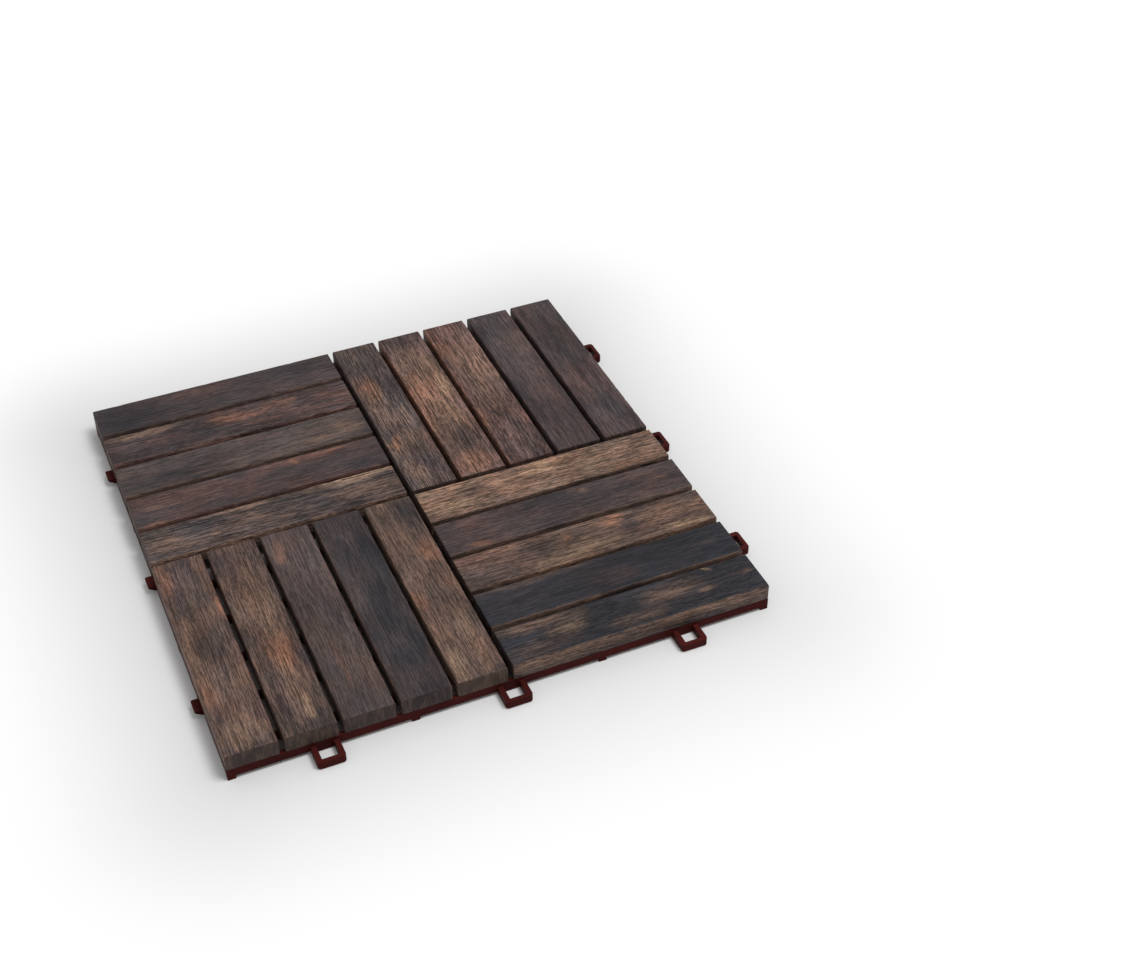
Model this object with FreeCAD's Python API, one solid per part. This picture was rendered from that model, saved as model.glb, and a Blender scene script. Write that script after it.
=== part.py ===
import FreeCAD, Part
import math
import os

# Interlocking deck tile. Twenty hardwood slats in basket weave are screwed from below
# to one open moulded grid, whose loops and tabs clip each tile to its neighbours.
# Millimetres. X runs along the front edge, Y to the back, Z up from the ground.

# Slats, which set the side of the whole tile
slat_width = 27.3
slat_thick = 10.0
slat_gap = 3.0
slats_per_panel = 5
panel_gap = 3.0
slat_top_round = 0.9
slat_foot_chamfer = 0.6

# Moulded grid
foot_height = 2.2
rim_height = 4.8
rim_wall = 2.4
rib_wall = 2.2

# Feet, in line with the rim and under the rib crossings
rim_foot_side = 4.3
rim_foot_from_middle = 52.0
stud_foot_r = 3.6
stud_foot_tip_r = 2.9
foot_top_below_grid = 1.0

# Screws and the bosses that they pass through
screw_shank_r = 1.5
screw_head_r = 3.0
screw_head_thick = 1.8
screw_length = 12.5
screw_point = 2.4
screw_point_r = 0.3
screw_bore_clearance = 0.2
pilot_clearance = 0.1
pilot_extra_depth = 0.6
boss_r = 4.2

# Loops on the front and right edges
loops_per_side = 3
loop_hole_width = 9.2
loop_hole_depth = 9.6
loop_arm_wall = 2.9
loop_bar_wall = 2.3
loop_thick = 4.5
loop_floor_gap = 0.6
loop_outer_round = 1.7

# Tabs on the left and back edges, and the rim slots beside them
tab_reach = 4.2
tab_width = 8.8
tab_root_thick = 3.75
tab_tip_thick = 1.3
tab_top = 5.75
tab_corner_chamfer = 0.6
slot_clearance = 0.5

# Round forms repeat many times, so they are drawn in flats: so many to a full turn of
# the screws, bosses and studs, and to a quarter bend of the slats' edges and the loops
turned_flats = 8
bend_flats = 5

# How far the tool of each cut runs past the faces that it opens
cut_over = 1.0

# Sizes that follow
panel_side = slats_per_panel * slat_width + (slats_per_panel - 1) * slat_gap
tile_side = 2 * panel_side + panel_gap
half_side = tile_side / 2
slat_pitch = slat_width + slat_gap
rib_pitch = tile_side / (2 * slats_per_panel)
ribs_per_way = 2 * slats_per_panel
loop_reach = loop_hole_depth + loop_bar_wall
loop_width = loop_hole_width + 2 * loop_arm_wall
link_pitch = tile_side / loops_per_side
grid_top = foot_height + rim_height

# The origin is the middle of the whole outline, loops and tabs included
tile_x = -(loop_reach - tab_reach) / 2
tile_y = (loop_reach - tab_reach) / 2


def block(x, y, z, size_x, size_y, size_z):
    """A box whose plan is centred on x, y and whose underside is at z."""
    corner = FreeCAD.Vector(x - size_x / 2, y - size_y / 2, z)
    return Part.makeBox(size_x, size_y, size_z, corner)


def turned(shape, quarter_turns):
    """The shape turned about the tile's own middle."""
    copy = shape.copy()
    copy.rotate(FreeCAD.Vector(0, 0, 0), FreeCAD.Vector(0, 0, 1), 90 * quarter_turns)
    return copy


def seated(shape):
    """The shape moved from the tile's middle to the origin of the whole outline."""
    copy = shape.copy()
    copy.translate(FreeCAD.Vector(tile_x, tile_y, 0))
    return copy


def upright_edges(shape):
    return [e for e in shape.Edges if is_upright(e)]


def is_upright(edge):
    start, end = edge.Vertexes[0].Point, edge.Vertexes[-1].Point
    return abs(start.x - end.x) < 1e-6 and abs(start.y - end.y) < 1e-6


def flat_face(points):
    corners = [FreeCAD.Vector(*p) for p in points]
    return Part.Face(Part.makePolygon(corners + corners[:1]))


def turned_piece(x, y, sections):
    """A piece turned through the given radii and heights, from the lowest to the highest."""
    turns = [2 * math.pi * (i + 0.5) / turned_flats for i in range(turned_flats)]
    rings = [[(x + r * math.cos(t), y + r * math.sin(t), z) for t in turns] for r, z in sections]
    faces = [flat_face(rings[0][::-1]), flat_face(rings[-1])]
    for low, high in zip(rings, rings[1:]):
        for i in range(turned_flats):
            faces.append(flat_face([low[i - 1], low[i], high[i], high[i - 1]]))
    return Part.makeSolid(Part.makeShell(faces))


def bend(x, y, r, quarter):
    """Points along a quarter bend of radius r about x, y, which starts at that quarter turn."""
    turns = [math.pi / 2 * (quarter + i / bend_flats) for i in range(bend_flats + 1)]
    return [(x + r * math.cos(t), y + r * math.sin(t)) for t in turns]


def rib_places():
    """Distances of the ribs' centre lines from the tile's middle."""
    return [-half_side + rib_pitch * (i + 0.5) for i in range(ribs_per_way)]


def link_places():
    """Distances of the loops' and tabs' centre lines from the middle of their edge."""
    return [link_pitch * (i - (loops_per_side - 1) / 2) for i in range(loops_per_side)]


def panels():
    """Each panel's name, the signs of its middle, and whether its slats run along X."""
    return [
        ("front_left", -1, -1, False),
        ("front_right", 1, -1, True),
        ("back_left", -1, 1, True),
        ("back_right", 1, 1, False),
    ]


def screw_places(panel):
    """The two screws of each slat: under its ends, where a cross rib meets its own rib."""
    name, sign_x, sign_y, along_x = panel
    ribs_x = [p for p in rib_places() if p * sign_x > 0]
    ribs_y = [p for p in rib_places() if p * sign_y > 0]
    if along_x:
        return [[(ribs_x[0], y), (ribs_x[-1], y)] for y in ribs_y]
    return [[(x, ribs_y[0]), (x, ribs_y[-1])] for x in ribs_x]


def make_board():
    """A planed board along Y, with rounded top edges and small chamfers below."""
    side = slat_width / 2
    low = slat_foot_chamfer
    r = slat_top_round
    section = [(-side, low), (-side + low, 0), (side - low, 0), (side, low)]
    section += bend(side - r, slat_thick - r, r, 0)
    section += bend(-side + r, slat_thick - r, r, 1)
    end = flat_face([(x, -panel_side / 2, z) for x, z in section])
    return end.extrude(FreeCAD.Vector(0, panel_side, 0))


def make_slat(panel, index):
    """One slat in its place, with a blind pilot hole for each of its screws."""
    name, sign_x, sign_y, along_x = panel
    across = -panel_side / 2 + slat_width / 2 + index * slat_pitch
    middle = (panel_side + panel_gap) / 2
    if along_x:
        board = turned(make_board(), 1)
        board.translate(FreeCAD.Vector(sign_x * middle, sign_y * middle + across, grid_top))
    else:
        board = make_board()
        board.translate(FreeCAD.Vector(sign_x * middle + across, sign_y * middle, grid_top))
    hole_r = screw_shank_r + pilot_clearance
    hole_top = screw_tip_height() + pilot_extra_depth
    for x, y in screw_places(panel)[index]:
        hole = turned_piece(x, y, [(hole_r, grid_top - cut_over), (hole_r, hole_top)])
        board = board.cut(hole)
    return seated(board)


def screw_tip_height():
    return foot_height + screw_length


def make_screw(x, y):
    """A countersunk screw, head down, with its head flush with the boss."""
    tip = screw_tip_height()
    sections = [
        (screw_head_r, foot_height),
        (screw_shank_r, foot_height + screw_head_thick),
        (screw_shank_r, tip - screw_point),
        (screw_point_r, tip),
    ]
    return turned_piece(x, y, sections)


def screw_bore(x, y):
    """The space that a screw needs through its boss: a countersink that narrows to a bore."""
    slope = screw_head_thick / (screw_head_r - screw_shank_r)
    bore_r = screw_shank_r + screw_bore_clearance
    sections = [
        (screw_head_r + cut_over / slope, foot_height - cut_over),
        (bore_r, foot_height + slope * (screw_head_r - bore_r)),
        (bore_r, grid_top + cut_over),
    ]
    return turned_piece(x, y, sections)


def make_lattice():
    """The rim and the crossing ribs: a plate with every cell between them cut out."""
    plate = block(0, 0, foot_height, tile_side, tile_side, rim_height)
    walls = [(-half_side, -half_side + rim_wall)]
    walls += [(p - rib_wall / 2, p + rib_wall / 2) for p in rib_places()]
    walls.append((half_side - rim_wall, half_side))
    spans = [(a[1], b[0]) for a, b in zip(walls, walls[1:])]
    height = rim_height + 2 * cut_over
    cells = []
    for x0, x1 in spans:
        for y0, y1 in spans:
            at = FreeCAD.Vector(x0, y0, foot_height - cut_over)
            cells.append(Part.makeBox(x1 - x0, y1 - y0, height, at))
    return plate.cut(Part.makeCompound(cells))


def make_loop(along):
    """One loop on the front edge, open from top to bottom, rounded at its outer corners."""
    left, right = along - loop_width / 2, along + loop_width / 2
    root_y = -half_side + rim_wall
    far_y = -half_side - loop_reach
    r = loop_outer_round
    plan = [(right, root_y), (left, root_y)]
    plan += bend(left + r, far_y + r, r, 2) + bend(right - r, far_y + r, r, 3)
    z = loop_floor_gap
    loop = flat_face([(x, y, z) for x, y in plan]).extrude(FreeCAD.Vector(0, 0, loop_thick))
    hole_y = -half_side - loop_hole_depth / 2
    tall = loop_thick + 2 * cut_over
    return loop.cut(block(along, hole_y, z - cut_over, loop_hole_width, loop_hole_depth, tall))


def make_tab(along):
    """One tab on the back edge: a wedge, thick at the rim and thin at its tip."""
    root_y = half_side - rim_wall
    tip_y = half_side + tab_reach
    corners = [
        (root_y, tab_top),
        (tip_y, tab_top),
        (tip_y, tab_top - tab_tip_thick),
        (half_side, tab_top - tab_root_thick),
        (root_y, tab_top - tab_root_thick),
    ]
    x = along - tab_width / 2
    wedge = flat_face([(x, y, z) for y, z in corners]).extrude(FreeCAD.Vector(tab_width, 0, 0))
    tip = [e for e in upright_edges(wedge) if e.Vertexes[0].Y > tip_y - 1e-6]
    return wedge.makeChamfer(tab_corner_chamfer, tip)


def tab_slots(along):
    """The slots beside a tab and the pocket behind it, which take the neighbour's loop."""
    bottom = foot_height - cut_over
    height = loop_floor_gap + loop_thick + slot_clearance - bottom
    width = loop_width + 2 * slot_clearance
    depth = loop_reach - tab_reach - rim_wall + slot_clearance
    pocket_y = half_side - rim_wall - depth / 2
    slots = [block(along, pocket_y, bottom, width, depth, height)]
    arm_x = (width - tab_width) / 4 + tab_width / 2
    arm_width = (width - tab_width) / 2
    slot_y = half_side - rim_wall / 2
    for x in (along - arm_x, along + arm_x):
        slots.append(block(x, slot_y, bottom, arm_width, rim_wall + 2 * cut_over, height))
    return Part.makeCompound(slots)


def make_feet():
    """Square feet under the rim, and round studs under the crossings between the screws."""
    edge = half_side - rim_foot_side / 2
    top = grid_top - foot_top_below_grid
    near = rim_foot_from_middle
    places = [(x, y) for x in (-edge, -near, near, edge) for y in (-edge, edge)]
    places += [(x, y) for x in (-edge, edge) for y in (-near, near)]
    feet = [block(x, y, 0, rim_foot_side, rim_foot_side, top) for x, y in places]
    ribs = rib_places()
    studs = ribs[1:slats_per_panel:2] + ribs[slats_per_panel + 1::2]
    for x in studs:
        for y in studs:
            feet.append(turned_piece(x, y, [(stud_foot_tip_r, 0), (stud_foot_r, top)]))
    return feet


def make_base_grid():
    """The whole moulding: lattice, screw bosses, feet, loops and tabs as one solid."""
    added = make_feet()
    bores = []
    for panel in panels():
        for pair in screw_places(panel):
            for x, y in pair:
                added.append(turned_piece(x, y, [(boss_r, foot_height), (boss_r, grid_top)]))
                bores.append(screw_bore(x, y))
    slots = []
    for along in link_places():
        added.append(make_loop(along))
        added.append(turned(make_loop(along), 1))
        added.append(make_tab(along))
        added.append(turned(make_tab(along), 1))
        slots.append(tab_slots(along))
        slots.append(turned(tab_slots(along), 1))
    grid = make_lattice().cut(Part.makeCompound(slots))
    grid = grid.fuse(added).cut(Part.makeCompound(bores)).removeSplitter()
    return seated(grid)


def make_slat_screws():
    """All the screws, two to a slat."""
    screws = []
    for panel in panels():
        for pair in screw_places(panel):
            screws += [make_screw(x, y) for x, y in pair]
    return seated(Part.makeCompound(screws))


def main():
    os.makedirs("parts", exist_ok=True)
    nodes = {"base_grid": make_base_grid(), "slat_screws": make_slat_screws()}
    for panel in panels():
        for index in range(slats_per_panel):
            nodes["slat_%s_%d" % (panel[0], index + 1)] = make_slat(panel, index)
    for name, shape in nodes.items():
        if not shape.isValid():
            raise ValueError(name + " isn't a valid solid")
        shape.exportStep("parts/" + name + ".step")
        print(name, len(shape.Solids), "solids", round(shape.Volume), "mm3")


main()
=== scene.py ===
import bmesh
import bpy
import math
import numpy as np
from mathutils import Euler, Matrix, Vector


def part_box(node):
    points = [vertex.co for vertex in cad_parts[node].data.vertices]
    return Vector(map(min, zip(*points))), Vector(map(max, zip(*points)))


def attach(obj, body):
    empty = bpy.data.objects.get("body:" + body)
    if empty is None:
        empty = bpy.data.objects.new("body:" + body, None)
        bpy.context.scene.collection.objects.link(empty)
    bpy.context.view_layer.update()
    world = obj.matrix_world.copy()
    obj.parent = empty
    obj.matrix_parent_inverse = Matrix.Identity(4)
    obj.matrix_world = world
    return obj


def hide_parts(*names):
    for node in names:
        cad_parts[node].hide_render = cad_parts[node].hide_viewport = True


# A garden deck tile: twenty short hardwood slats in basket weave, screwed from below to an
# open moulded grid that clips to the next tile. Metres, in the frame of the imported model.

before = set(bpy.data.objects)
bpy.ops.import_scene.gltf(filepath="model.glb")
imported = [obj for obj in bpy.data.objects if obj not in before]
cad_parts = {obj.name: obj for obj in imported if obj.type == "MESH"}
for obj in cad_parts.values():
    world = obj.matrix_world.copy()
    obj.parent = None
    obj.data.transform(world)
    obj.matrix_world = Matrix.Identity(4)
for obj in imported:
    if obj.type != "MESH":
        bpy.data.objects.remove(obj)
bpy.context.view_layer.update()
MM = 0.001


# The moulded grid is one injection moulding of dark red polypropylene: a rim and crossing
# ribs, with bosses for the screws, feet, and the loops and tabs that clip tiles together.
# It leaves the mould with a fine satin texture, flow marks and slightly softened edges.

def add_node(tree, kind, *values, **settings):
    """A node of a material. Values go to its inputs in order, as numbers, colours or links."""
    made = tree.nodes.new(kind)
    for name, value in settings.items():
        setattr(made, name, value)
    for socket, value in zip(made.inputs, values):
        if isinstance(value, bpy.types.NodeSocket):
            tree.links.new(value, socket)
        elif value is not None:
            socket.default_value = value
    return made


def reckon(tree, operation, a, b=0.0):
    return add_node(tree, "ShaderNodeMath", a, b, operation=operation).outputs[0]


def spread(tree, value, low, high, to_low=0.0, to_high=1.0):
    """The value taken smoothly from one range to another, and held at its ends."""
    made = add_node(tree, "ShaderNodeMapRange", value, low, high, to_low, to_high,
                    interpolation_type="SMOOTHSTEP")
    return made.outputs[0]


def speckle(tree, place, per_metre, detail=2.0, roughness=0.55):
    """Noise with so many grains to a metre along each axis of the piece."""
    stretched = add_node(tree, "ShaderNodeVectorMath", place, per_metre, operation="MULTIPLY")
    made = add_node(tree, "ShaderNodeTexNoise", stretched.outputs[0])
    made.inputs["Scale"].default_value = 1.0
    made.inputs["Detail"].default_value = detail
    made.inputs["Roughness"].default_value = roughness
    return made.outputs[0]


def tint(tree, amount, under, over, how="MIX"):
    """Two colours laid over each other by an amount."""
    made = tree.nodes.new("ShaderNodeMix")
    made.data_type = "RGBA"
    made.blend_type = how
    factor, first, second = made.inputs[0], made.inputs[6], made.inputs[7]
    for socket, value in ((factor, amount), (first, under), (second, over)):
        if isinstance(value, bpy.types.NodeSocket):
            tree.links.new(value, socket)
        else:
            socket.default_value = value if isinstance(value, float) else (*value, 1.0)
    return made.outputs[2]


def new_finish(name):
    """An empty material, its tree, its shader and the coordinates of the piece itself."""
    finish = bpy.data.materials.new(name)
    finish.use_nodes = True
    tree = finish.node_tree
    shader = tree.nodes["Principled BSDF"]
    place = tree.nodes.new("ShaderNodeTexCoord").outputs["Object"]
    return finish, tree, shader, place


def feel(tree, shader, height, strength, depth):
    """The small relief of a surface."""
    bump = tree.nodes.new("ShaderNodeBump")
    bump.inputs["Strength"].default_value = strength
    bump.inputs["Distance"].default_value = depth
    tree.links.new(height, bump.inputs["Height"])
    tree.links.new(bump.outputs[0], shader.inputs["Normal"])


plastic_red = (0.082, 0.0150, 0.0130)
plastic_dark = (0.052, 0.0100, 0.0090)
plastic_dust = (0.105, 0.030, 0.026)
painted_shade_on_plastic = (0.022, 0.0025, 0.0022)
flow_marks = ((38.0, 38.0, 60.0), 3.0)
mould_texture = ((2600.0, 2600.0, 2600.0), 2.0)
scuff_marks = ((240.0, 620.0, 300.0), 4.0, 0.65)
texture_depth = 0.06 * MM
grid_edge = 0.28 * MM
corner_slack = 0.002 * MM
sharp_edge = math.radians(28)


def moulded_plastic():
    """Dark red plastic with flow marks and pale scuffs, and painted shade that darkens its upright faces.
    """
    finish, tree, shader, place = new_finish("moulded_maroon")
    flow = speckle(tree, place, *flow_marks)
    texture = speckle(tree, place, *mould_texture)
    scuffs = speckle(tree, place, *scuff_marks)
    colour = tint(tree, spread(tree, flow, 0.3, 0.7), plastic_dark, plastic_red)
    colour = tint(tree, spread(tree, scuffs, 0.62, 0.8, 0.0, 0.5), colour, plastic_dust)
    # painted shade: the more upright a face, the more its colour turns to a deep dark red
    facing = add_node(tree, "ShaderNodeTexCoord").outputs["Normal"]
    upward = add_node(tree, "ShaderNodeSeparateXYZ", facing).outputs[2]
    colour = tint(tree, spread(tree, upward, 0.2, 0.8, 0.45, 0.0), colour, painted_shade_on_plastic)
    tree.links.new(colour, shader.inputs["Base Color"])
    tree.links.new(spread(tree, scuffs, 0.3, 0.75, 0.36, 0.6), shader.inputs["Roughness"])
    shader.inputs["Specular IOR Level"].default_value = 0.03
    feel(tree, shader, texture, 0.25, texture_depth)
    return finish


def soften(piece, width, segments):
    """Joins the corners of each face and rolls every sharp edge over by a small width."""
    weld = piece.modifiers.new("joined corners", "WELD")
    weld.merge_threshold = corner_slack
    bevel = piece.modifiers.new("softened edges", "BEVEL")
    bevel.width = width
    bevel.segments = segments
    bevel.limit_method = "ANGLE"
    bevel.angle_limit = sharp_edge
    bevel.harden_normals = True


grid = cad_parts["base_grid"]
grid.data.materials.clear()
grid.data.materials.append(moulded_plastic())
soften(grid, grid_edge, 2)


# Each slat is a short board of dark-stained tropical hardwood. It is sawn square at its
# ends, its top edges are rounded over, and brushing has opened the grain along its length.
# The stain took unevenly, so each board has its own tone, pale flares and dark blooms.

end_ease = 0.4 * MM
top_round = 0.9 * MM
foot_round = 0.6 * MM
columns = 56
stations = 104
layers = 12

# the widths and lengths of the brushed grooves, of their sway and of worn places
fine_groove = (0.95 * MM, 8 * MM)
broad_groove = (2.6 * MM, 38 * MM)
groove_depth = 0.11 * MM
groove_sway = (30 * MM, 45 * MM)
sway_width = 2.2 * MM
worn_place = (5 * MM, 4.5 * MM)
worn_depth = 0.35 * MM
bare_band = 0.9 * MM
lattice_side = 64
shallow_relief = 0.75


def grain_heights(rng, across, along, grain):
    """Smooth random heights from 0 to 1 over a board, for a grain of some width and length."""
    lattice = rng.random((lattice_side, lattice_side))
    across = across / grain[0]
    along = along / grain[1]
    i = np.floor(across).astype(int)
    j = np.floor(along).astype(int)
    s = across - i
    t = along - j
    s = s * s * (3 - 2 * s)
    t = t * t * (3 - 2 * t)
    low = lattice[i % lattice_side, j % lattice_side] * (1 - s)
    low += lattice[(i + 1) % lattice_side, j % lattice_side] * s
    high = lattice[i % lattice_side, (j + 1) % lattice_side] * (1 - s)
    high += lattice[(i + 1) % lattice_side, (j + 1) % lattice_side] * s
    return low * (1 - t) + high * t


def eased_steps(half, edge, count):
    """Places from -half to half, closer together within each rounded edge."""
    near = [-half, -half + 0.3 * edge, -half + 0.65 * edge]
    inner = np.linspace(-half + edge, half - edge, count - 5)
    return np.concatenate([near, inner, [-x for x in near[::-1]]])


def rounded_skin(width, length, height):
    """The skin of a board about its own middle, with rounded edges.

    Gives its points, their directions outwards, which are in the upper half, and their ids
    in a grid over the board.
    """
    half = np.array([width, length, height]) / 2
    xs = eased_steps(half[0], top_round, columns)
    ys = eased_steps(half[1], end_ease, stations)
    zs = eased_steps(half[2], top_round, layers)
    i, j, k = np.meshgrid(range(columns + 1), range(stations + 1), range(layers + 1), indexing="ij")
    skin = (i == 0) | (i == columns) | (j == 0) | (j == stations) | (k == 0) | (k == layers)
    ids = np.full(skin.shape, -1)
    ids[skin] = np.arange(skin.sum())
    points = np.stack([xs[i[skin]], ys[j[skin]], zs[k[skin]]], -1)
    upper = points[:, 2] > 0
    rounds = np.where(upper[:, None], [top_round, end_ease, top_round], foot_round)
    core = np.clip(points, -half + rounds, half - rounds)
    away = (points - core) / rounds
    outward = away / np.linalg.norm(away, axis=1)[:, None]
    return core + rounds * outward, outward, upper, ids


def board_faces(ids):
    """The four-sided faces of a board's skin, turned outwards."""
    faces = []
    sides = [
        (ids[:, :, -1], False), (ids[:, :, 0], True),
        (ids[0, :, :], False), (ids[-1, :, :], True),
        (ids[:, 0, :], True), (ids[:, -1, :], False),
    ]
    for skin, flip in sides:
        a, b, c, d = skin[:-1, :-1], skin[1:, :-1], skin[1:, 1:], skin[:-1, 1:]
        quads = np.stack([a, b, c, d], -1).reshape(-1, 4)
        faces.append(quads[:, ::-1] if flip else quads)
    return np.concatenate(faces)


def make_board(name, width, length, height, seed, relief):
    """A board about its own middle, with Y along its grain and its relief cut inwards."""
    rng = np.random.default_rng(seed)
    points, outward, upper, ids = rounded_skin(width, length, height)
    side = np.sign(points[:, 0])
    sideways = np.abs(outward[:, 0])
    below_top = height / 2 - points[:, 2]
    across = points[:, 0] + side * below_top
    along = points[:, 1]

    # the brushed grooves, and the places worn away along the top edges
    swaying = across + sway_width * (grain_heights(rng, across, along, groove_sway) - 0.5)
    fine = grain_heights(rng, swaying, along, fine_groove)
    broad = grain_heights(rng, swaying, along, broad_groove)
    grooves = np.clip((fine - 0.5) * 2, 0, 1) * (0.35 + 0.65 * broad)
    edge = np.clip(1.5 - np.abs(sideways - 0.7) * 3, 0, 1) * upper
    worn = np.clip((grain_heights(rng, across, along, worn_place) - 0.72) / 0.28, 0, 1) * edge
    seen = np.clip(points[:, 2] / (height / 2) + 1.0, 0, 1)
    depth = (groove_depth * relief * grooves + worn_depth * worn) * seen

    # how pale each place near an arris is, with the sign of the board's side: worn stain along the top
    # edge, and painted light on the upper part of the side, fading with depth
    on_top = 0.55 * upper * np.clip(1.4 - (width / 2 - np.abs(points[:, 0])) / bare_band, 0, 1)
    on_side = 1.5 * np.clip(1.2 - below_top / height, 0, 1)
    arris_wear_and_light = (on_top * (1 - sideways) + on_side * sideways) * side

    points = points - outward * np.array([1, 0.25, 1]) * depth[:, None]
    mesh = bpy.data.meshes.new(name)
    mesh.from_pydata(points.tolist(), [], board_faces(ids).tolist())
    mesh.polygons.foreach_set("use_smooth", [True] * len(mesh.polygons))
    for mark, amounts in (("groove", grooves * seen), ("worn", worn), ("arris_wear_and_light", arris_wear_and_light)):
        mesh.attributes.new(mark, "FLOAT", "POINT").data.foreach_set("value", amounts)
    mesh.update()
    return bpy.data.objects.new(name, mesh)


stains = {
    "coal": (0.018, 0.017, 0.021),
    "charcoal": (0.050, 0.041, 0.042),
    "navy": (0.028, 0.028, 0.034),
    "plum": (0.084, 0.058, 0.056),
    "ash": (0.106, 0.079, 0.072),
    "umber": (0.136, 0.087, 0.068),
    "rose": (0.158, 0.093, 0.084),
    "russet": (0.165, 0.084, 0.067),
    "tan": (0.255, 0.156, 0.108),
    "orange": (0.330, 0.160, 0.100),
    "straw": (0.400, 0.262, 0.170),
}
end_dark = (0.026, 0.019, 0.017)
end_brown = (0.104, 0.067, 0.051)
cool_cast = (0.93, 0.985, 1.045)
warm_cast = (1.07, 0.985, 0.955)

# Of each texture of the wood: its grains to a metre across, along and through the board, how
# many finer layers it holds, and how strong these are.
fibres = ((2300.0, 80.0, 2300.0), 2.0, 0.6)
flecks = ((2500.0, 330.0, 2500.0), 1.0)
streaks = ((520.0, 40.0, 520.0), 3.0, 0.6)
mottling = ((68.0, 24.0, 68.0), 3.0, 0.55)
blooms = ((46.0, 19.0, 46.0), 2.0, 0.5)
casts = ((58.0, 30.0, 58.0), 2.0, 0.5)
open_pores = ((2100.0, 200.0, 2100.0), 1.0)
growth_lines = ((430.0, 8.0, 430.0), 2.0)
end_rings = ((260.0, 400.0, 90.0), 3.0)
saw_marks = ((1300.0, 400.0, 150.0), 3.0)
slow_bend = ((30.0, 16.0, 30.0), 1.0)
bend_width = 2 * MM

# a flare's edge is torn by noise of so many grains to a metre, this far across and along
tear_scale = (95.0, 40.0, 95.0)
tear_reach = (8 * MM, 30 * MM, 0.0)
grain_depth = 0.2 * MM


def weigh(tree, first, first_share, second, second_share):
    """The sum of two values, each taken by its share."""
    return reckon(tree, "ADD", reckon(tree, "MULTIPLY", first, first_share),
                  reckon(tree, "MULTIPLY", second, second_share))


def own_grain(tree, place, seed):
    """The board's coordinates, shifted so that no two boards match, and then bent slowly."""
    wander = (0.37 * seed, 0.71 * seed, 0.13 * seed)
    shifted = add_node(tree, "ShaderNodeVectorMath", place, wander, operation="ADD").outputs[0]
    sway = reckon(tree, "SUBTRACT", speckle(tree, shifted, *slow_bend), 0.5)
    bend = add_node(tree, "ShaderNodeCombineXYZ", reckon(tree, "MULTIPLY", sway, bend_width)).outputs[0]
    return shifted, add_node(tree, "ShaderNodeVectorMath", shifted, bend, operation="ADD").outputs[0]


def torn_place(tree, place, grain):
    """The board's coordinates with noise added, which tears the outlines of the flares."""
    torn = add_node(tree, "ShaderNodeVectorMath", grain, tear_scale, operation="MULTIPLY")
    torn = add_node(tree, "ShaderNodeTexNoise", torn.outputs[0])
    torn.inputs["Scale"].default_value = 1.0
    torn.inputs["Detail"].default_value = 3.0
    to_middle = tuple(-reach / 2 for reach in tear_reach)
    torn = add_node(tree, "ShaderNodeVectorMath", torn.outputs[1], tear_reach, to_middle,
                    operation="MULTIPLY_ADD").outputs[0]
    return add_node(tree, "ShaderNodeVectorMath", place, torn, operation="ADD").outputs[0]


def lay_flare(tree, colour, torn, fray, streak, middle, size, stain, strength):
    """A flare of stain about its middle, long along the grain, that fades out to its size."""
    scale = Vector((2 / size[0], 2 / size[1], 0.0))
    offset = add_node(tree, "ShaderNodeVectorMath", torn, scale, -middle * scale,
                      operation="MULTIPLY_ADD").outputs[0]
    far = add_node(tree, "ShaderNodeVectorMath", offset, operation="LENGTH").outputs["Value"]
    amount = spread(tree, reckon(tree, "ADD", far, fray), 1.55, 0.25, 0.0, strength)
    amount = reckon(tree, "MULTIPLY", amount, spread(tree, streak, 0.34, 0.58, 0.6, 1.0))
    return tint(tree, amount, colour, stains[stain])


def pale_arris_worn_and_lit(tree, colour, side, stain, strength, broken):
    """Paler wood along one long edge and the top of its side: worn stain, and painted light that fades down
    the side.
    """
    arris_wear_and_light = add_node(tree, "ShaderNodeAttribute", attribute_name="arris_wear_and_light").outputs["Fac"]
    near = reckon(tree, "MAXIMUM", reckon(tree, "MULTIPLY", arris_wear_and_light, side), 0.0)
    amount = reckon(tree, "MULTIPLY", reckon(tree, "MULTIPLY", near, strength), broken)
    return tint(tree, amount, colour, stains[stain])


def sawn_ends(tree, colour, shifted, dark):
    """The end grain, darker than the rest, with growth rings and the marks of the saw."""
    facing = add_node(tree, "ShaderNodeTexCoord").outputs["Normal"]
    facing = add_node(tree, "ShaderNodeVectorMath", facing, operation="ABSOLUTE").outputs[0]
    lengthways = add_node(tree, "ShaderNodeSeparateXYZ", facing).outputs[1]
    rings = spread(tree, speckle(tree, shifted, *end_rings), 0.36, 0.62)
    marks = spread(tree, speckle(tree, shifted, *saw_marks), 0.38, 0.60, 0.85, 0.0)
    end_colour = tint(tree, rings, end_dark, end_brown)
    end_colour = tint(tree, marks, end_colour, end_dark)
    end_colour = tint(tree, 0.2, end_colour, stains[dark])
    return tint(tree, spread(tree, lengthways, 0.5, 0.85, 0.0, 0.9), colour, end_colour)


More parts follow.
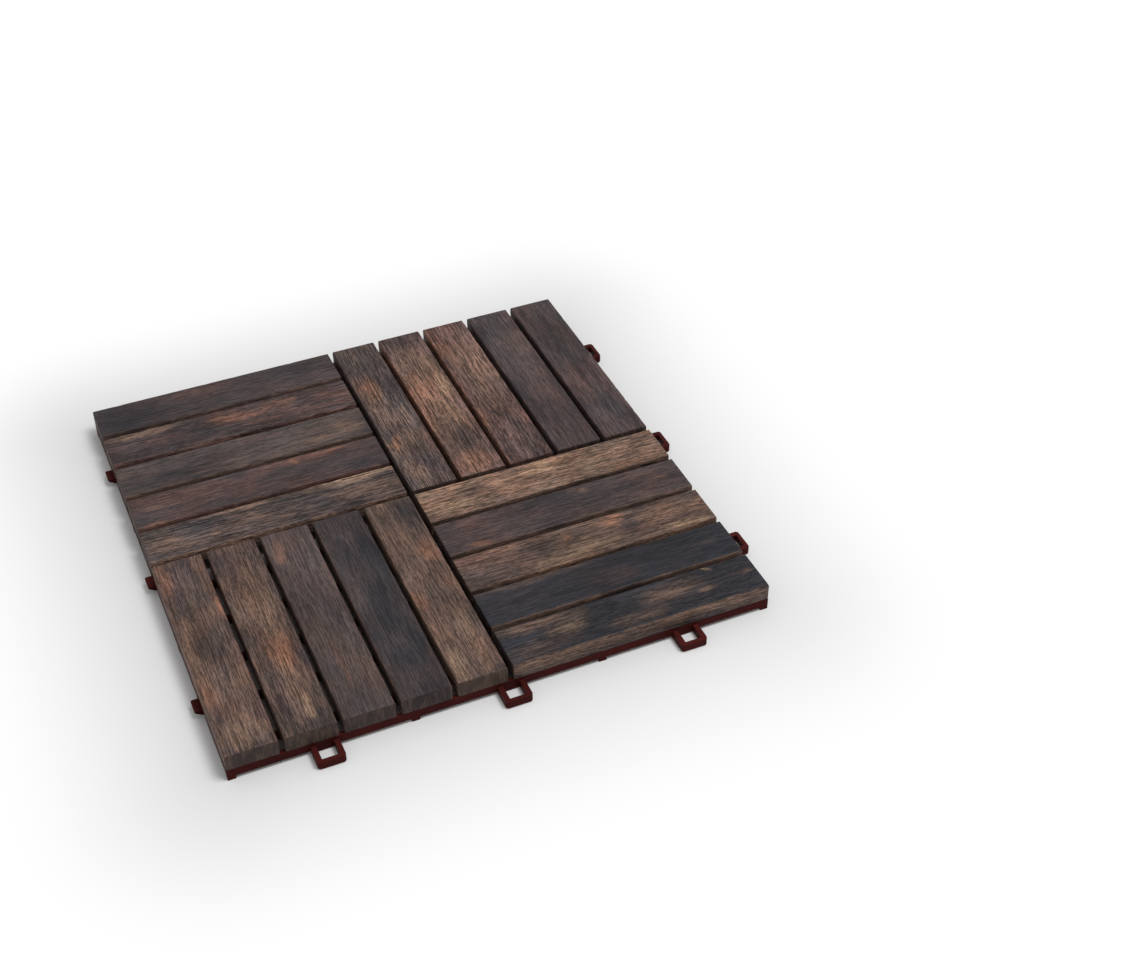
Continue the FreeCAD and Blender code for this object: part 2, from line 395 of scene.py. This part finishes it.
def stained_hardwood(name, seed, board, width, length, along_x):
    """One board's finish, from its row of the table below."""
    dark, body, light, uneven, grainy, arris_stains_worn_and_lit, flares = board
    finish, tree, shader, place = new_finish(name)
    shifted, grain = own_grain(tree, place, seed)
    fibre = speckle(tree, grain, *fibres)
    threads = weigh(tree, fibre, 0.65, speckle(tree, grain, *flecks), 0.35)
    streak = speckle(tree, grain, *streaks)
    tone = weigh(tree, streak, 0.3, speckle(tree, grain, *mottling), 0.7)

    # the stain's blooms, and over them the flares that are this board's own
    colour = tint(tree, spread(tree, tone, 0.36, 0.51), stains[dark], stains[body])
    colour = tint(tree, spread(tree, tone, 0.50, 0.68, 0.0, uneven), colour, stains[light])
    cast = spread(tree, speckle(tree, grain, *casts), 0.36, 0.64)
    colour = tint(tree, 1.0, colour, tint(tree, cast, cool_cast, warm_cast), "MULTIPLY")
    torn = torn_place(tree, place, grain)
    fray = reckon(tree, "MULTIPLY", reckon(tree, "SUBTRACT", fibre, 0.5), 0.9)
    for stain, along, across, flare_length, flare_width, strength in flares:
        sideways = 0.5 - across if along_x else across - 0.5
        middle = Vector((sideways * width, (along - 0.5) * length, 0.0))
        size = (flare_width * MM, flare_length * MM)
        colour = lay_flare(tree, colour, torn, fray, streak, middle, size, stain, strength)
    broken = spread(tree, tone, 0.34, 0.52, 0.3, 1.0)
    # the paler arrises and upper sides: worn stain, and painted light that fades down the sides
    for side, (stain, strength) in zip((-1.0, 1.0), arris_stains_worn_and_lit):
        colour = pale_arris_worn_and_lit(tree, colour, side, stain, strength, broken)

    # the fibres, the fine dark lines between them, the pores and the brushed grooves
    pores = spread(tree, speckle(tree, grain, *open_pores), 0.58, 0.70)
    rings = reckon(tree, "SUBTRACT", speckle(tree, grain, *growth_lines), 0.5)
    lines = spread(tree, reckon(tree, "ABSOLUTE", rings), 0.04, 0.0, 0.0, 0.30 * grainy)
    contrast = 0.47 * grainy
    patchy = 0.10 + 0.18 * uneven
    bloom = speckle(tree, grain, *blooms)
    brightness = reckon(tree, "MULTIPLY", spread(tree, threads, 0.42, 0.58, 1 - contrast, 1 + contrast),
                        spread(tree, bloom, 0.36, 0.64, 1 - patchy, 1 + patchy))
    brightness = reckon(tree, "MULTIPLY", brightness, reckon(tree, "SUBTRACT", 1.0, lines))
    grey = add_node(tree, "ShaderNodeCombineColor", brightness, brightness, brightness).outputs[0]
    colour = tint(tree, 1.0, colour, grey, "MULTIPLY")
    colour = tint(tree, reckon(tree, "MULTIPLY", pores, 0.5 * grainy), colour, stains["navy"])
    groove = add_node(tree, "ShaderNodeAttribute", attribute_name="groove").outputs["Fac"]
    colour = tint(tree, reckon(tree, "MULTIPLY", groove, 0.18), colour, stains["charcoal"])
    worn = add_node(tree, "ShaderNodeAttribute", attribute_name="worn").outputs["Fac"]
    colour = tint(tree, reckon(tree, "MULTIPLY", worn, 0.6), colour, stains["tan"])

    tree.links.new(sawn_ends(tree, colour, shifted, dark), shader.inputs["Base Color"])
    shader.inputs["Specular IOR Level"].default_value = 0.12
    tree.links.new(spread(tree, fibre, 0.25, 0.75, 0.62, 0.46), shader.inputs["Roughness"])
    raised = reckon(tree, "ADD", threads, reckon(tree, "MULTIPLY", streak, 0.4))
    sunk = reckon(tree, "MULTIPLY", reckon(tree, "ADD", pores, lines), 0.5)
    feel(tree, shader, reckon(tree, "SUBTRACT", raised, sunk), 0.55, grain_depth)
    return finish


# Of each board: its dark, body and light stain, how uneven the stain is, how strongly its
# grain shows, the stain and strength of its left and right (or back and front) arris and
# side, which is part worn stain and part painted light, and its flares. A flare is its
# stain, its middle as shares of the board's length from the front or left and of its width
# from the left or front, its length and width in millimetres, and its strength.
boards = {
    "front_left_1": ("plum", "umber", "tan", 0.55, 1.1, (("tan", 0.3), ("russet", 0.5)), [
        ("orange", 0.91, 0.14, 30, 9, 0.7), ("tan", 0.60, 0.12, 56, 9, 0.5),
        ("charcoal", 0.76, 0.74, 22, 10, 0.6), ("orange", 0.68, 0.95, 18, 5, 0.95),
        ("charcoal", 0.53, 0.58, 24, 17, 0.6), ("orange", 0.29, 0.14, 24, 10, 0.6),
        ("tan", 0.40, 0.25, 16, 8, 0.4), ("tan", 0.085, 0.30, 16, 13, 0.65),
        ("tan", 0.085, 0.80, 10, 10, 0.55), ("charcoal", 0.01, 0.50, 6, 30, 0.7)]),
    "front_left_2": ("plum", "umber", "tan", 0.6, 1.2, (("umber", 0.3), ("plum", 0.4)), [
        ("plum", 0.95, 0.50, 22, 30, 0.6), ("tan", 0.74, 0.58, 50, 13, 0.75),
        ("tan", 0.55, 0.60, 40, 12, 0.5), ("orange", 0.385, 0.62, 28, 13, 0.95),
        ("tan", 0.60, 0.12, 34, 7, 0.4), ("tan", 0.22, 0.62, 30, 10, 0.6),
        ("straw", 0.10, 0.62, 9, 5, 0.75), ("charcoal", 0.27, 0.22, 28, 10, 0.7),
        ("plum", 0.70, 0.94, 90, 5, 0.6), ("charcoal", 0.03, 0.50, 12, 30, 0.7)]),
    "front_left_3": ("plum", "ash", "umber", 0.4, 0.85, (("umber", 0.35), ("russet", 0.35)), [
        ("plum", 0.66, 0.50, 66, 26, 0.6), ("plum", 0.98, 0.50, 12, 30, 0.5),
        ("orange", 0.865, 0.24, 17, 6, 0.42), ("russet", 0.25, 0.39, 34, 4, 0.75),
        ("russet", 0.42, 0.95, 16, 4, 0.5), ("charcoal", 0.07, 0.40, 22, 26, 0.5),
        ("umber", 0.16, 0.85, 30, 7, 0.4)]),
    "front_left_4": ("navy", "charcoal", "ash", 0.5, 0.85, (("umber", 0.45), ("plum", 0.3)), [
        ("navy", 0.74, 0.66, 30, 18, 0.6), ("navy", 0.46, 0.60, 40, 18, 0.55),
        ("navy", 0.20, 0.45, 22, 14, 0.5), ("plum", 0.95, 0.50, 26, 28, 0.65),
        ("plum", 0.07, 0.50, 16, 24, 0.4), ("russet", 0.15, 0.90, 14, 4, 0.35),
        ("ash", 0.60, 0.15, 50, 6, 0.4)]),
    "front_left_5": ("umber", "umber", "tan", 0.5, 1.1, (("tan", 0.35), ("umber", 0.3)), [
        ("tan", 0.97, 0.30, 10, 10, 0.6), ("navy", 0.90, 0.84, 26, 14, 0.9),
        ("orange", 0.68, 0.80, 20, 12, 0.75), ("tan", 0.78, 0.45, 30, 12, 0.35),
        ("charcoal", 0.56, 0.80, 20, 9, 0.4), ("orange", 0.44, 0.12, 18, 7, 0.75),
        ("tan", 0.30, 0.68, 30, 9, 0.7), ("plum", 0.40, 0.40, 30, 12, 0.25),
        ("straw", 0.10, 0.20, 26, 8, 0.6), ("tan", 0.12, 0.72, 36, 7, 0.75),
        ("umber", 0.12, 0.46, 34, 4, 0.6), ("charcoal", 0.005, 0.80, 4, 14, 0.8)]),
    "front_right_5": ("umber", "tan", "straw", 0.5, 1.4, (("umber", 0.3), ("umber", 0.7)), [
        ("straw", 0.13, 0.33, 34, 10, 0.65), ("umber", 0.22, 0.72, 20, 12, 0.6),
        ("straw", 0.50, 0.68, 24, 8, 0.55), ("umber", 0.45, 0.52, 30, 3, 0.75),
        ("tan", 0.72, 0.48, 26, 12, 0.3), ("straw", 0.68, 0.42, 16, 6, 0.5),
        ("umber", 0.36, 0.12, 60, 5, 0.7), ("plum", 0.93, 0.80, 24, 12, 0.6),
        ("ash", 0.40, 0.93, 22, 6, 0.6), ("ash", 0.28, 0.30, 12, 12, 0.4),
        ("ash", 0.62, 0.32, 70, 20, 0.3)]),
    "front_right_4": ("charcoal", "plum", "umber", 0.2, 1.0, (("plum", 0.3), ("umber", 0.6)), [
        ("charcoal", 0.04, 0.78, 16, 14, 0.75), ("russet", 0.15, 0.80, 18, 9, 0.4),
        ("orange", 0.15, 0.12, 10, 5, 0.55), ("tan", 0.58, 0.82, 10, 4, 0.6),
        ("tan", 0.88, 0.52, 9, 4, 0.6), ("umber", 0.87, 0.80, 22, 6, 0.5),
        ("tan", 0.57, 0.06, 14, 3, 0.6), ("umber", 0.80, 0.06, 36, 4, 0.5),
        ("charcoal", 0.50, 0.55, 90, 18, 0.5)]),
    "front_right_3": ("plum", "umber", "tan", 0.7, 1.25, (("umber", 0.3), ("tan", 0.5)), [
        ("russet", 0.08, 0.84, 26, 10, 0.5), ("ash", 0.11, 0.28, 30, 16, 0.8),
        ("straw", 0.45, 0.20, 52, 9, 0.6), ("tan", 0.50, 0.44, 44, 12, 0.5),
        ("orange", 0.42, 0.70, 13, 6, 0.65), ("orange", 0.63, 0.84, 12, 10, 0.9),
        ("charcoal", 0.69, 0.50, 12, 16, 0.7), ("plum", 0.28, 0.66, 22, 12, 0.5),
        ("tan", 0.88, 0.62, 34, 11, 0.5), ("straw", 0.88, 0.10, 36, 4, 0.8),
        ("charcoal", 0.93, 0.34, 20, 5, 0.4)]),
    "front_right_2": ("coal", "navy", "charcoal", 0.3, 0.9, (("charcoal", 0.3), ("umber", 0.7)), [
        ("umber", 0.22, 0.94, 70, 5, 0.6), ("plum", 0.15, 0.50, 50, 16, 0.25),
        ("coal", 0.68, 0.70, 50, 20, 0.55), ("coal", 0.95, 0.40, 20, 16, 0.4),
        ("plum", 0.52, 0.35, 30, 12, 0.6), ("charcoal", 0.40, 0.70, 22, 10, 0.5),
        ("russet", 0.42, 0.95, 10, 4, 0.5), ("ash", 0.88, 0.55, 12, 4, 0.5)]),
    "front_right_1": ("navy", "navy", "charcoal", 0.6, 1.3, (("charcoal", 0.3), ("tan", 0.5)), [
        ("tan", 0.15, 0.88, 44, 9, 0.55), ("straw", 0.25, 0.52, 16, 9, 0.45),
        ("umber", 0.12, 0.28, 34, 12, 0.5), ("umber", 0.25, 0.70, 26, 10, 0.5),
        ("umber", 0.63, 0.58, 44, 14, 0.6), ("tan", 0.62, 0.60, 34, 6, 0.45),
        ("coal", 0.88, 0.45, 50, 22, 0.4), ("tan", 0.50, 0.26, 34, 7, 0.45),
        ("navy", 0.42, 0.72, 34, 16, 0.8), ("straw", 0.835, 0.90, 5, 4, 0.8),
        ("tan", 0.79, 0.45, 9, 4, 0.6), ("tan", 0.93, 0.60, 12, 3, 0.4)]),
    "back_left_5": ("charcoal", "plum", "plum", 0.25, 0.9, (("plum", 0.3), ("umber", 0.5)), [
        ("navy", 0.09, 0.40, 60, 30, 0.85), ("navy", 0.05, 0.85, 16, 12, 0.5),
        ("russet", 0.42, 0.82, 60, 8, 0.3), ("charcoal", 0.45, 0.20, 70, 16, 0.7),
        ("charcoal", 0.80, 0.60, 60, 24, 0.65)]),
    "back_left_4": ("plum", "plum", "russet", 0.9, 1.3, (("russet", 0.3), ("russet", 0.5)), [
        ("straw", 0.14, 0.90, 46, 7, 0.45), ("russet", 0.22, 0.50, 30, 10, 0.5),
        ("orange", 0.52, 0.66, 28, 10, 0.6), ("orange", 0.71, 0.74, 22, 8, 0.55),
        ("charcoal", 0.38, 0.42, 18, 12, 0.85), ("charcoal", 0.12, 0.68, 26, 4, 0.6),
        ("charcoal", 0.20, 0.20, 60, 3, 0.4), ("charcoal", 0.62, 0.36, 70, 3, 0.6),
        ("russet", 0.85, 0.25, 40, 6, 0.55)]),
    "back_left_3": ("charcoal", "ash", "umber", 0.3, 0.9, (("ash", 0.3), ("umber", 0.6)), [
        ("charcoal", 0.03, 0.35, 14, 18, 0.7), ("plum", 0.35, 0.55, 60, 20, 0.4),
        ("tan", 0.93, 0.45, 16, 14, 0.55), ("tan", 0.81, 0.28, 16, 5, 0.55),
        ("russet", 0.58, 0.78, 34, 5, 0.35), ("charcoal", 0.80, 0.05, 44, 4, 0.7)]),
    "back_left_2": ("charcoal", "plum", "russet", 0.35, 0.9, (("plum", 0.3), ("russet", 0.5)), [
        ("russet", 0.17, 0.76, 56, 12, 0.65), ("tan", 0.10, 0.55, 24, 5, 0.35),
        ("russet", 0.68, 0.86, 66, 7, 0.7), ("orange", 0.655, 0.82, 4, 8, 0.6),
        ("orange", 0.80, 0.88, 20, 3, 0.5), ("navy", 0.93, 0.20, 24, 12, 0.7),
        ("charcoal", 0.62, 0.45, 44, 8, 0.4), ("charcoal", 0.42, 0.80, 10, 8, 0.5),
        ("orange", 0.06, 0.05, 18, 3, 0.5)]),
    "back_left_1": ("charcoal", "ash", "tan", 0.6, 1.5, (("tan", 0.5), ("tan", 0.6)), [
        ("tan", 0.45, 0.95, 60, 5, 0.5), ("straw", 0.84, 0.92, 54, 6, 0.85),
        ("charcoal", 0.62, 0.76, 90, 4, 0.8), ("charcoal", 0.22, 0.80, 40, 7, 0.6),
        ("tan", 0.07, 0.45, 18, 16, 0.5), ("tan", 0.42, 0.50, 22, 5, 0.45),
        ("tan", 0.88, 0.45, 34, 12, 0.45), ("charcoal", 0.70, 0.35, 14, 12, 0.6),
        ("charcoal", 0.18, 0.20, 26, 8, 0.45)]),
    "back_right_1": ("plum", "ash", "tan", 0.9, 1.5, (("plum", 0.3), ("russet", 0.4)), [
        ("charcoal", 0.90, 0.50, 34, 30, 0.5), ("orange", 0.69, 0.30, 28, 14, 0.85),
        ("tan", 0.52, 0.30, 34, 14, 0.45), ("orange", 0.31, 0.24, 10, 6, 0.95),
        ("tan", 0.30, 0.55, 20, 20, 0.4), ("russet", 0.27, 0.92, 30, 5, 0.7),
        ("charcoal", 0.60, 0.88, 40, 7, 0.5), ("navy", 0.18, 0.62, 18, 9, 0.6),
        ("tan", 0.09, 0.28, 26, 12, 0.6), ("plum", 0.40, 0.60, 20, 12, 0.4)]),
    "back_right_2": ("umber", "rose", "tan", 1.0, 1.4, (("orange", 0.5), ("umber", 0.3)), [
        ("tan", 0.50, 0.45, 120, 30, 0.75),
        ("plum", 0.96, 0.50, 22, 30, 0.85), ("tan", 0.78, 0.50, 34, 20, 0.5),
        ("orange", 0.60, 0.30, 34, 16, 0.65), ("orange", 0.60, 0.74, 30, 16, 0.6),
        ("straw", 0.60, 0.80, 22, 10, 0.9),
        ("orange", 0.42, 0.12, 60, 5, 0.6), ("plum", 0.22, 0.60, 26, 16, 0.85),
        ("tan", 0.37, 0.55, 24, 14, 0.4), ("orange", 0.07, 0.50, 20, 26, 0.6),
        ("charcoal", 0.70, 0.97, 40, 3, 0.5)]),
    "back_right_3": ("russet", "rose", "tan", 0.9, 1.5, (("orange", 0.5), ("plum", 0.3)), [
        ("plum", 0.93, 0.80, 20, 12, 0.8), ("orange", 0.86, 0.14, 36, 10, 0.75),
        ("tan", 0.62, 0.60, 90, 26, 0.8), ("orange", 0.31, 0.07, 24, 5, 0.8),
        ("plum", 0.16, 0.55, 56, 26, 0.85), ("russet", 0.15, 0.40, 12, 9, 0.6),
        ("plum", 0.42, 0.85, 30, 8, 0.6)]),
    "back_right_4": ("charcoal", "plum", "ash", 0.6, 0.9, (("plum", 0.2), ("plum", 0.2)), [
        ("ash", 0.70, 0.55, 60, 14, 0.4), ("charcoal", 0.20, 0.50, 50, 20, 0.4)]),
    "back_right_5": ("charcoal", "plum", "ash", 0.5, 0.9, (("plum", 0.2), ("plum", 0.2)), [
        ("russet", 0.40, 0.40, 50, 6, 0.3), ("umber", 0.75, 0.70, 40, 8, 0.3)]),
}

for seed, (name, board) in enumerate(boards.items(), start=1):
    node = "slat_" + name
    low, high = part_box(node)
    size = high - low
    along_x = size.x > size.y
    width, length = min(size.x, size.y), max(size.x, size.y)
    relief = shallow_relief if board[0] in ("navy", "charcoal") else 1.0
    slat = make_board(node + "_brushed", width, length, size.z, seed, relief)
    slat.data.materials.append(stained_hardwood("stained_" + name, seed, board, width, length, along_x))
    bpy.context.scene.collection.objects.link(slat)
    slat.location = (low + high) / 2
    slat.rotation_euler = (0, 0, -math.pi / 2 if along_x else 0)
    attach(slat, "root")
    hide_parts(node)


# The screws are zinc-plated steel wood screws with countersunk heads and a pressed cross
# recess. They are driven from below, two to a slat, and only their heads show, flush in the
# bosses of the grid. Each is turned about the middle of the head that it replaces.

rib_pitch = 30 * MM
head_flats = 24
head_radius = 2.8 * MM
head_thick = 1.7 * MM
rim_width = 0.12 * MM
rim_height = 0.10 * MM
shank_radius = 1.45 * MM
point_length = 2.4 * MM
point_radius = 0.25 * MM
cross_reach = 1.45 * MM
cross_half_width = 0.42 * MM
cross_depth = 1.1 * MM
cross_taper = 0.62
head_slack = 0.01 * MM
turning_seed = 40
zinc_dull = (0.42, 0.40, 0.35)
zinc_bright = (0.62, 0.61, 0.57)


def zinc_steel():
    finish, tree, shader, place = new_finish("zinc_plate")
    bloom = speckle(tree, place, (700.0, 700.0, 700.0), 3.0)
    colour = tint(tree, spread(tree, bloom, 0.3, 0.7), zinc_dull, zinc_bright)
    tree.links.new(colour, shader.inputs["Base Color"])
    shader.inputs["Metallic"].default_value = 1.0
    tree.links.new(spread(tree, bloom, 0.3, 0.7, 0.28, 0.45), shader.inputs["Roughness"])
    feel(tree, shader, bloom, 0.2, 0.03 * MM)
    return finish


def cross_outline():
    """The mouth of the recess: three corners of each of its four arms, one after another."""
    arm = [(cross_half_width, -cross_half_width), (cross_reach, -cross_half_width),
           (cross_reach, cross_half_width)]
    turns = [(math.cos(a), math.sin(a)) for a in (0, math.pi / 2, math.pi, 3 * math.pi / 2)]
    return np.array([(x * c - y * s, x * s + y * c) for c, s in turns for x, y in arm])


def screw_with_recess(length):
    """A screw along Z with the face of its head at zero and its point at its length."""
    turn = np.linspace(0, 2 * math.pi, head_flats, endpoint=False)
    circle = np.stack([np.cos(turn), np.sin(turn)], -1)
    skin = bmesh.new()

    def ring(outline, z):
        return [skin.verts.new((x, y, z)) for x, y in outline]

    def wall(lower, upper):
        for i in range(len(lower)):
            skin.faces.new((lower[i - 1], upper[i - 1], upper[i], lower[i]))

    mouth = ring(cross_outline(), 0.0)
    bottom = ring(cross_outline() * cross_taper, cross_depth)
    profile = [
        (head_radius - rim_width, 0.0),
        (head_radius, rim_height),
        (shank_radius, head_thick),
        (shank_radius, length - point_length),
        (point_radius, length),
    ]
    rings = [ring(circle * radius, z) for radius, z in profile]
    edges = [skin.edges.new((a[i - 1], a[i])) for a in (mouth, rings[0]) for i in range(len(a))]
    bmesh.ops.triangle_fill(skin, use_beauty=True, edges=edges)
    wall(mouth, bottom)
    skin.faces.new(bottom)
    for lower, upper in zip(rings, rings[1:]):
        wall(lower, upper)
    skin.faces.new(rings[-1])
    bmesh.ops.recalc_face_normals(skin, faces=skin.faces)
    return skin


low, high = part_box("slat_screws")
middle = (low + high) / 2
plain_points = np.array([v.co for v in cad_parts["slat_screws"].data.vertices])
plain_heads = plain_points[plain_points[:, 2] < low.z + head_slack, :2]
cells = np.unique(np.floor((plain_heads - np.array(middle[:2])) / rib_pitch), axis=0)
screw = screw_with_recess(high.z - low.z)
rng = np.random.default_rng(turning_seed)
all_screws = bmesh.new()
for across, along in cells:
    place = middle.x + (across + 0.5) * rib_pitch, middle.y + (along + 0.5) * rib_pitch, low.z
    turned = Matrix.Rotation(rng.uniform(0, math.pi / 2), 4, "Z")
    one = bpy.data.meshes.new("one_screw")
    screw.to_mesh(one)
    one.transform(Matrix.Translation(place) @ turned)
    all_screws.from_mesh(one)
    bpy.data.meshes.remove(one)
steel = bpy.data.meshes.new("screws_with_recess")
all_screws.to_mesh(steel)
steel.materials.append(zinc_steel())
screws = bpy.data.objects.new("screws_with_recess", steel)
bpy.context.scene.collection.objects.link(screws)
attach(screws, "root")
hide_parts("slat_screws")


# The ground is a wide, pale, matt sheet. For the camera it fades to plain white away from
# the tile's edges, and near them it keeps the tile's soft shadow. Under the tile it is painted
# darker and a little warm: painted shade for the ground seen down the gaps between the slats.

ground_side = 8.0
open_ground = (0.93, 0.93, 0.93)
painted_shade_under_tile = (0.52, 0.46, 0.45)
tile_middle = (-0.00385, 0.00385, 0.0)
tile_reach = 0.142
grey_fade = 4 * MM
white_from = -0.002
white_to = 0.118


def pale_sheet():
    """Matt, and fading for the camera into plain white by the distance from the tile."""
    finish, tree, shader, place = new_finish("pale_ground")
    tree.nodes.remove(shader)
    out = tree.nodes["Material Output"]
    about = add_node(tree, "ShaderNodeVectorMath", place, tile_middle, operation="SUBTRACT").outputs[0]
    aside = add_node(tree, "ShaderNodeVectorMath", about, operation="ABSOLUTE").outputs[0]
    beyond = add_node(tree, "ShaderNodeVectorMath", aside, (tile_reach, tile_reach, 0.0),
                      operation="SUBTRACT").outputs[0]
    beyond = add_node(tree, "ShaderNodeVectorMath", beyond, (0.0, 0.0, 0.0), operation="MAXIMUM").outputs[0]
    far = add_node(tree, "ShaderNodeVectorMath", beyond, operation="LENGTH").outputs["Value"]
    matt = add_node(tree, "ShaderNodeBsdfDiffuse")
    # painted shade: under the tile's footprint the ground colour turns darker and warmer
    ground_colour = tint(tree, spread(tree, far, 0.0, grey_fade), painted_shade_under_tile, open_ground)
    tree.links.new(ground_colour, matt.inputs["Color"])
    glow = add_node(tree, "ShaderNodeEmission")
    glow.inputs["Color"].default_value = (1.0, 1.0, 1.0, 1.0)
    fade = spread(tree, far, white_from, white_to)
    seen = tree.nodes.new("ShaderNodeLightPath").outputs["Is Camera Ray"]
    blend = tree.nodes.new("ShaderNodeMixShader")
    tree.links.new(reckon(tree, "MULTIPLY", fade, seen), blend.inputs[0])
    tree.links.new(matt.outputs[0], blend.inputs[1])
    tree.links.new(glow.outputs[0], blend.inputs[2])
    tree.links.new(blend.outputs[0], out.inputs["Surface"])
    return finish


half_ground = ground_side / 2
corners = [(x * half_ground, y * half_ground, 0) for x, y in ((-1, -1), (1, -1), (1, 1), (-1, 1))]
sheet = bpy.data.meshes.new("ground")
sheet.from_pydata(corners, [], [(0, 1, 2, 3)])
sheet.materials.append(pale_sheet())
ground = bpy.data.objects.new("ground", sheet)
bpy.context.scene.collection.objects.link(ground)


# The light is a white sky all round, with a large soft lamp at the right and a little in front.

sky_level = 0.40
lamp_from = Vector((0.50, -0.55, 1.75))
lamp_side = 0.75
lamp_watts = 17.4

world = bpy.data.worlds.new("white_sky")
bpy.context.scene.world = world
world.use_nodes = True
sky = world.node_tree
sky.nodes.clear()
lit = add_node(sky, "ShaderNodeBackground")
lit.inputs["Color"].default_value = (1.0, 1.0, 1.0, 1.0)
lit.inputs["Strength"].default_value = sky_level
plain = add_node(sky, "ShaderNodeBackground")
plain.inputs["Color"].default_value = (1.0, 1.0, 1.0, 1.0)
plain.inputs["Strength"].default_value = 1.0
rays = sky.nodes.new("ShaderNodeLightPath")
white = reckon(sky, "MAXIMUM", rays.outputs["Is Camera Ray"], rays.outputs["Is Glossy Ray"])
white = reckon(sky, "MAXIMUM", white, rays.outputs["Is Transmission Ray"])
either = sky.nodes.new("ShaderNodeMixShader")
sky.links.new(white, either.inputs[0])
sky.links.new(lit.outputs[0], either.inputs[1])
sky.links.new(plain.outputs[0], either.inputs[2])
out = sky.nodes.new("ShaderNodeOutputWorld")
sky.links.new(either.outputs[0], out.inputs["Surface"])

lamp = bpy.data.lights.new("soft_lamp", "AREA")
lamp.shape = "SQUARE"
lamp.size = lamp_side
lamp.energy = lamp_watts
hung = bpy.data.objects.new("soft_lamp", lamp)
hung.location = lamp_from
hung.rotation_euler = (-lamp_from).to_track_quat("-Z", "Y").to_euler()
bpy.context.scene.collection.objects.link(hung)


# The camera stands in front of the tile, to the left, and looks down on it. Its lens and
# sensor are in millimetres and its turns in degrees.

focal_length = 55.613
sensor_width = 36.0
camera_place = (-0.227345, -0.728471, 0.660657)
camera_turns = (50.2409, 0.1534, -23.7193)

lens = bpy.data.cameras.new("view")
lens.lens = focal_length
lens.sensor_width = sensor_width
camera = bpy.data.objects.new("view", lens)
camera.location = camera_place
camera.rotation_euler = Euler([math.radians(turn) for turn in camera_turns])
bpy.context.scene.collection.objects.link(camera)
bpy.context.scene.camera = camera
bpy.context.scene.view_settings.view_transform = "Standard"
